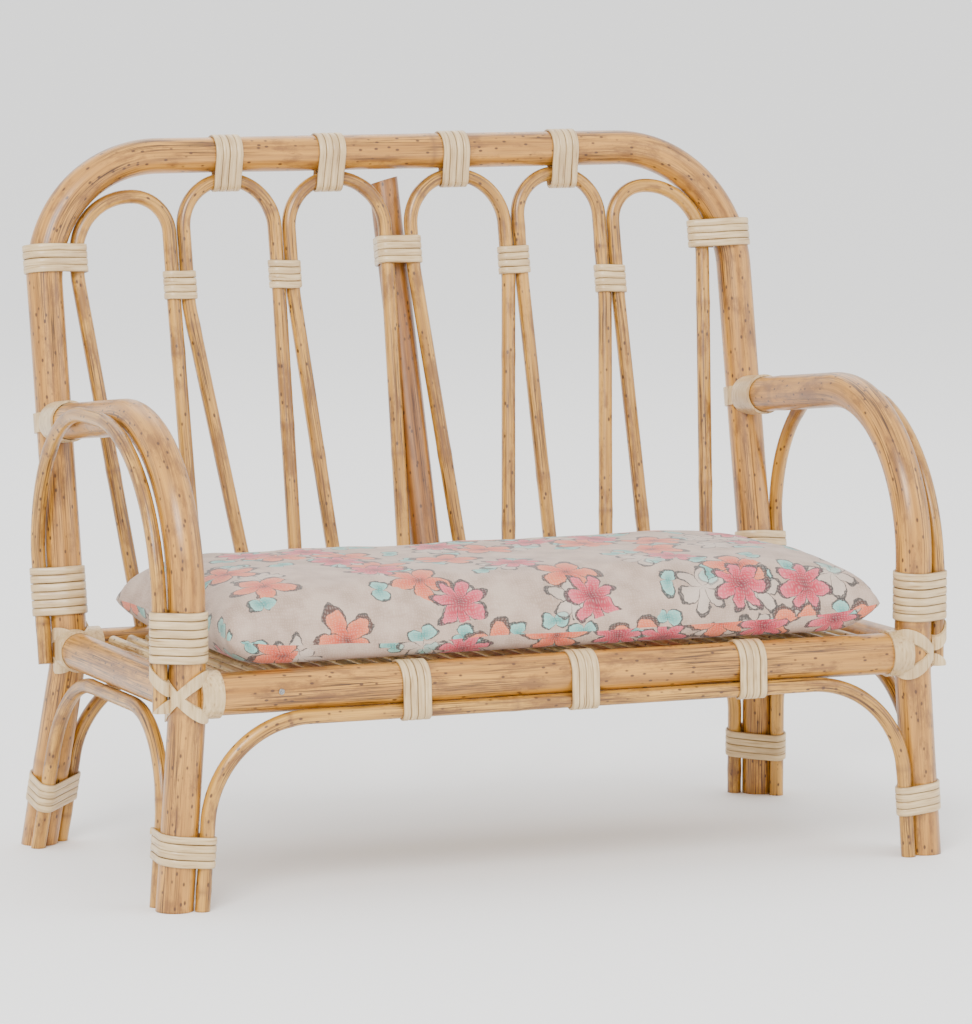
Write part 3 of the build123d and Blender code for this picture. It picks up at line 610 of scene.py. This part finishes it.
left_foot = [x + drift[0] for x, drift in zip(left_x, LEG_DRIFTS)]
right_foot = [x + drift[1] for x, drift in zip(right_x, LEG_DRIFTS)]
rear_wraps = ((right_foot[0] + left_foot[1]) / 2, (left_foot[2] + right_foot[2]) / 2,
              (right_foot[4] + left_foot[5]) / 2)
for rail, y, diameter, arch_y, z, places in (
    ("front", FRONT_Y, FRONT_RAIL_CANE, FRONT_Y + front_step[1].y, front_apron_z, FRONT_WRAPS),
    ("rear", REAR_Y, MAIN_CANE, rear_leg(1, rear_apron_z).y + rear_step[1].y, rear_apron_z, rear_wraps),
):
    for i, x in enumerate(places):
        middle = Vector((x, y, SEAT_HEIGHT))
        bound(f"{rail}_rail_wrap_{i + 1}", middle, (1, 0, 0),
              [(middle, diameter), (Vector((x, arch_y, z)), THIN_CANE)], TURNS,
              71 + i + 5 * (rail == "rear"))
for number, (name, side) in enumerate(SIDES):
    for end, leg, steps in (("front", front_leg, (front_step[side], front_side_step[side])),
                            ("rear", rear_leg, (rear_step[side], rear_side_step[side]))):
        foot = leg(side, FOOT_TIE_HEIGHT)
        canes = [(foot, MAIN_CANE)] + [(foot + step, THIN_CANE) for step in steps]
        seed = 81 + number + 2 * (end == "rear")
        way = leg(side, FOOT_TIE_HEIGHT + 1) - foot
        bound(f"foot_binding_{end}_{name}", foot, way, canes, TURNS, seed)
        spot = leg(side, SEAT_HEIGHT + SEAT_TIE_RISE)
        canes = [(spot, MAIN_CANE), (Vector((side * arm_loop_x, spot.y, spot.z)), THIN_CANE)]
        way = leg(side, SEAT_HEIGHT + SEAT_TIE_RISE + 1) - spot
        bound(f"seat_binding_{end}_{name}", spot, way, canes, SEAT_TURNS, seed + 10)


# ---------------------------------------------------------------- cushion
def linen_finish():
    """Washed linen with a printed flower pattern: greige ground, open weave, dull and soft,
    with coral and rose heads, grey drawn ones and blue-green leaves."""
    made_one, tree, cloth = material("printed_washed_linen")
    place = add(tree, "TexCoord").outputs["Object"]
    flat = add(tree, "Attribute", attribute_name="cloth").outputs["Vector"]
    wobble = add(tree, "TexNoise", {"Vector": flat, "Scale": 140.0, "Detail": 2.0}).outputs["Color"]
    wobble = add(tree, "VectorMath", {0: wobble, 1: (0.006, 0.006, 0.0)}, operation="MULTIPLY").outputs[0]
    flat = add(tree, "VectorMath", {0: flat, 1: wobble}, operation="ADD").outputs[0]
    slub = add(tree, "TexNoise", {"Vector": place, "Scale": 90.0, "Detail": 4.0}).outputs["Fac"]
    shade = ramped(tree, slub, (0.35, sRGB("#A48B7A")), (0.65, sRGB("#BBA392")))

    def maths(way, a, b=0.0):
        return add(tree, "Math", {0: a, 1: b}, operation=way).outputs[0]

    def heads(shade, per_metre, shift, petals, size, ramp, share, drawn):
        """Scatters one kind of head or leaf: petals cut by angle round each cell's middle."""
        moved = {"Vector": flat, "Location": shift, "Scale": (per_metre,) * 3}
        co = add(tree, "Mapping", moved).outputs["Vector"]
        cell = add(tree, "TexVoronoi", {"Vector": co, "Scale": 1.0, "Randomness": 0.75},
                   voronoi_dimensions="2D")
        away = add(tree, "VectorMath", {0: co, 1: cell.outputs["Position"]}, operation="SUBTRACT").outputs[0]
        part = add(tree, "SeparateXYZ", {"Vector": away})
        lot = add(tree, "SeparateColor", {"Color": cell.outputs["Color"]})
        reach = add(tree, "VectorMath", {0: away}, operation="LENGTH").outputs["Value"]
        angle = maths("ARCTAN2", part.outputs["Y"], part.outputs["X"])
        angle = maths("ADD", angle, maths("MULTIPLY", lot.outputs["Red"], 6.28))
        wave = maths("ABSOLUTE", maths("COSINE", maths("MULTIPLY", angle, petals / 2)))
        middle = 0.42 if petals > 2 else 0.12
        rim = maths("MULTIPLY", maths("ADD", maths("MULTIPLY", wave, 0.55), middle), size)
        inside = maths("DIVIDE", reach, rim)
        chosen = maths("LESS_THAN", lot.outputs["Green"], share)
        fill = maths("MULTIPLY", maths("LESS_THAN", inside, 1.0), chosen)
        colour = ramped(tree, inside, *((place, sRGB(code)) for place, code in ramp))
        shade = mixed(tree, maths("MULTIPLY", fill, 0.3 if drawn else 0.95), shade, colour)
        edge = maths("LESS_THAN", maths("ABSOLUTE", maths("SUBTRACT", inside, 0.97)), 0.09)
        vein = maths("MULTIPLY", maths("LESS_THAN", wave, 0.13), maths("LESS_THAN", inside, 0.98))
        ink = maths("MULTIPLY", maths("MAXIMUM", edge, vein), chosen)
        return mixed(tree, maths("MULTIPLY", ink, 0.92), shade, sRGB("#34302F"))

    # heads 25 to 35 mm across and leaves about 20 mm long
    for per_metre, shift, petals, size, ramp, share, drawn in (
        (44, (0.31, 0.17, 0), 2, 0.52, [(0.1, "#3E8C86"), (0.9, "#86BDB2")], 0.6, False),
        (31, (0.77, 0.41, 0), 6, 0.44, [(0.1, "#D9D2C6"), (0.9, "#C8C0B4")], 0.45, True),
        (25, (0.05, 0.63, 0), 5, 0.47, [(0.05, "#6E2018"), (0.3, "#CC4A28"), (0.95, "#DD7A50")], 0.5, False),
        (27, (0.53, 0.09, 0), 7, 0.42, [(0.05, "#74152A"), (0.5, "#BD2C44"), (0.95, "#D65F70")], 0.3, False),
    ):
        shade = heads(shade, per_metre, shift, petals, size, ramp, share, drawn)
    # threads 0.7 mm apart, which is coarser than real linen so that they show
    threads = {"Vector": flat, "Scale": 225.0, "Distortion": 1.2, "Detail": 2.0}
    warp, weft = (add(tree, "TexWave", threads, bands_direction=way).outputs["Fac"] for way in "XY")
    weave = maths("MULTIPLY", warp, weft)
    shade = mixed(tree, maths("MULTIPLY", weave, 0.22), shade, sRGB("#DCC9BB"))
    tree.links.new(shade, cloth.inputs["Base Color"])
    cloth.inputs["Roughness"].default_value = 0.88
    cloth.inputs["Sheen Weight"].default_value = 0.25
    cloth.inputs["Sheen Roughness"].default_value = 0.5
    bumped(tree, cloth, weave, 0.4, 0.0003)
    return made_one


linen = linen_finish()
low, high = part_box("cushion_bottom_panel")[0] / MM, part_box("cushion_top_panel")[1] / MM
pad_middle = Vector(((low.x + high.x) / 2, (low.y + high.y) / 2 - SHIFT_Y, 0))
pad_half = Vector(((high.x - low.x) / 2, (high.y - low.y) / 2, 0))
SEAM_Z, SEAM_SAG, PAD_CROWN, PAD_BELLY = 123.0, 6.0, 20.0, 11.0
PAD_CAP, PAD_FRAMES = 6.0, 20               # how far a point may puff out, and for how long
UNDER_PRINT = Vector((0.41, 0.27, 0))       # the underside is cut from another stretch of cloth


def sewn_pad():
    """Two panels sewn edge to edge and stuffed: a low crown over a flatter underside."""
    bm = bmesh.new()
    bmesh.ops.create_grid(bm, x_segments=72, y_segments=36, size=1.0)
    cut = bm.loops.layers.float_vector.new("cloth")
    flat = {}

    def crown_at(u, v):
        return PAD_CROWN * max(0.0, (1 - u**10) * (1 - v**8)) ** 0.42

    def along_panel(u, v, over_x):
        """Length over the panel from its middle line, so that the print isn't stretched."""
        spot, length, parts = None, 0.0, 14
        for k in range(parts + 1):
            a, b = (u * k / parts, v) if over_x else (u, v * k / parts)
            here = Vector((a * pad_half.x, b * pad_half.y, crown_at(a, b)))
            length += (here - spot).length if spot else 0.0
            spot = here
        return math.copysign(length, u if over_x else v)

    for vert in bm.verts:
        u, v = vert.co.x, vert.co.y
        flat[vert] = Vector((along_panel(u, v, True), along_panel(u, v, False), 0)) * MM
        # the seam pulls in between the corners, which stand out as small ears
        pull_x, pull_y = 1 - 0.016 * (1 - v * v), 1 - 0.02 * (1 - u**4)
        spot = Vector((u * pull_x * pad_half.x, v * pull_y * pad_half.y, SEAM_Z + crown_at(u, v)))
        vert.co = spot + pad_middle
    for face in bm.faces:
        for loop in face.loops:
            loop[cut] = flat[loop.vert]
    under = bmesh.ops.duplicate(bm, geom=bm.verts[:] + bm.edges[:] + bm.faces[:])["geom"]
    for part in under:
        if isinstance(part, bmesh.types.BMVert):
            part.co.z = SEAM_Z - (part.co.z - SEAM_Z) * PAD_BELLY / PAD_CROWN
        elif isinstance(part, bmesh.types.BMFace):
            for loop in part.loops:
                loop[cut] = loop[cut] + UNDER_PRINT
    bmesh.ops.remove_doubles(bm, verts=bm.verts, dist=0.01)
    for vert in bm.verts:
        # the front seam sinks towards the rail between its two corners
        u, v = (vert.co.x - pad_middle.x) / pad_half.x, (vert.co.y - pad_middle.y) / pad_half.y
        vert.co.z -= SEAM_SAG * max(0.0, -v) ** 3 * max(0.0, 1 - u**8)
    bmesh.ops.recalc_face_normals(bm, faces=bm.faces)
    for face in bm.faces:
        face.smooth = True
    return made("cushion_cover", bm)


cushion = sewn_pad()
start = [v.co.copy() for v in cushion.data.vertices]
cloth = cushion.modifiers.new("stuffing", "CLOTH")
cloth.settings.quality = 6
cloth.settings.use_pressure = True
cloth.settings.uniform_pressure_force = 4.0
cloth.settings.tension_stiffness = 20.0
cloth.settings.compression_stiffness = 10.0
cloth.settings.shear_stiffness = 8.0
cloth.settings.bending_stiffness = 0.4
cloth.settings.effector_weights.gravity = 0.0
cloth.collision_settings.use_collision = False
for number in range(1, PAD_FRAMES + 1):
    bpy.context.scene.frame_set(number)
settled = cushion.evaluated_get(bpy.context.evaluated_depsgraph_get()).to_mesh()
moved = [v.co.copy() for v in settled.vertices]
cushion.modifiers.remove(cloth)
bpy.context.scene.frame_set(1)
for vert, a, b in zip(cushion.data.vertices, start, moved):
    step = b - a
    if step.length > PAD_CAP * MM:
        step = step.normalized() * PAD_CAP * MM
    vert.co = a + step
for vert in cushion.data.vertices:
    crease = noise.noise(vert.co * 28) * 1.3 + noise.noise(vert.co * 75 + Vector((3, 1, 7))) * 0.5
    vert.co.z += crease * MM
    vert.co.x = min(max(vert.co.x, low.x * MM), high.x * MM)
    vert.co.y = min(max(vert.co.y, low.y * MM), high.y * MM)
    # flat only where it lies on the rails and slats
    vert.co.z = max(vert.co.z, low.z * MM)
smooth = cushion.modifiers.new("soften", "SUBSURF")
smooth.levels = smooth.render_levels = 1
placed(cushion, linen, "linen", PAD_BODY, "cushion_top_panel", "cushion_bottom_panel", "cushion_filling")

# ---------------------------------------------------------------- CAD nodes kept as they are
for names, finish in (
    (("front_seat_rail", "rear_seat_rail"), pole_x),
    (("side_rail_left", "side_rail_right"), pole_y),
    (("centre_post",), pole_z),
    (("centre_stay",), thin_z),
    (("front_ledger", "rear_ledger"), thin_x),
    (("seat_slats",), thin_y),
    (("front_rail_nail",), nail),
    (tuple(f"corner_lashing_{end}_{name}" for end in ("front", "rear") for name, _ in SIDES), peel_z),
    (tuple(f"arm_binding_{name}" for name, _ in SIDES), peel_z),
):
    for node_name in names:
        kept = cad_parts[node_name]
        if kept.material_slots:
            for place in kept.material_slots:
                place.material = finish
        else:
            kept.data.materials.append(finish)

# ---------------------------------------------------------------- floor, light and camera
FLOOR_HALF = 150.0          # metres
bm = bmesh.new()
bmesh.ops.create_grid(bm, x_segments=1, y_segments=1, size=FLOOR_HALF)
floor_mesh = bpy.data.meshes.new("studio_floor")
bm.to_mesh(floor_mesh)
bm.free()
floor = bpy.data.objects.new("studio_floor", floor_mesh)
bpy.context.collection.objects.link(floor)
paper, _, paper_skin = material("matt_white_paper")
paper_skin.inputs["Base Color"].default_value = sRGB("#FBFBFA")
paper_skin.inputs["Roughness"].default_value = 0.95
floor_mesh.materials.append(paper)

world = bpy.data.worlds.new("studio")
bpy.context.scene.world = world
world.use_nodes = True
sky = world.node_tree.nodes["Background"]
sky.inputs["Color"].default_value = grey(1.0)
sky.inputs["Strength"].default_value = 1.6
aim = Vector((0, 0, 0.17))
for name, place, size, power in (("key", (-1.3, -1.9, 2.0), 1.0, 70), ("fill", (2.0, -1.4, 1.2), 2.0, 16),
                                 ("back", (0.4, 1.8, 1.8), 1.6, 12)):
    lamp = bpy.data.lights.new(name, "AREA")
    lamp.size, lamp.energy = size, power
    light = bpy.data.objects.new(name, lamp)
    light.location = place
    light.rotation_euler = (Vector(place) - aim).to_track_quat("Z", "Y").to_euler()
    bpy.context.collection.objects.link(light)

CAMERA_TURN, CAMERA_RISE, CAMERA_AWAY = math.radians(-22.73), math.radians(6.53), 2.5148
camera_aim = Vector((-0.01216, -0.05028, 0.17109))
back = Vector((math.sin(CAMERA_TURN) * math.cos(CAMERA_RISE),
               -math.cos(CAMERA_TURN) * math.cos(CAMERA_RISE), math.sin(CAMERA_RISE)))
lens = bpy.data.cameras.new("camera")
lens.sensor_fit, lens.sensor_width, lens.lens = "HORIZONTAL", 36.0, 192.6
camera = bpy.data.objects.new("camera", lens)
camera.location = camera_aim + back * CAMERA_AWAY
camera.rotation_euler = back.to_track_quat("Z", "Y").to_euler()
bpy.context.collection.objects.link(camera)
bpy.context.scene.camera = camera
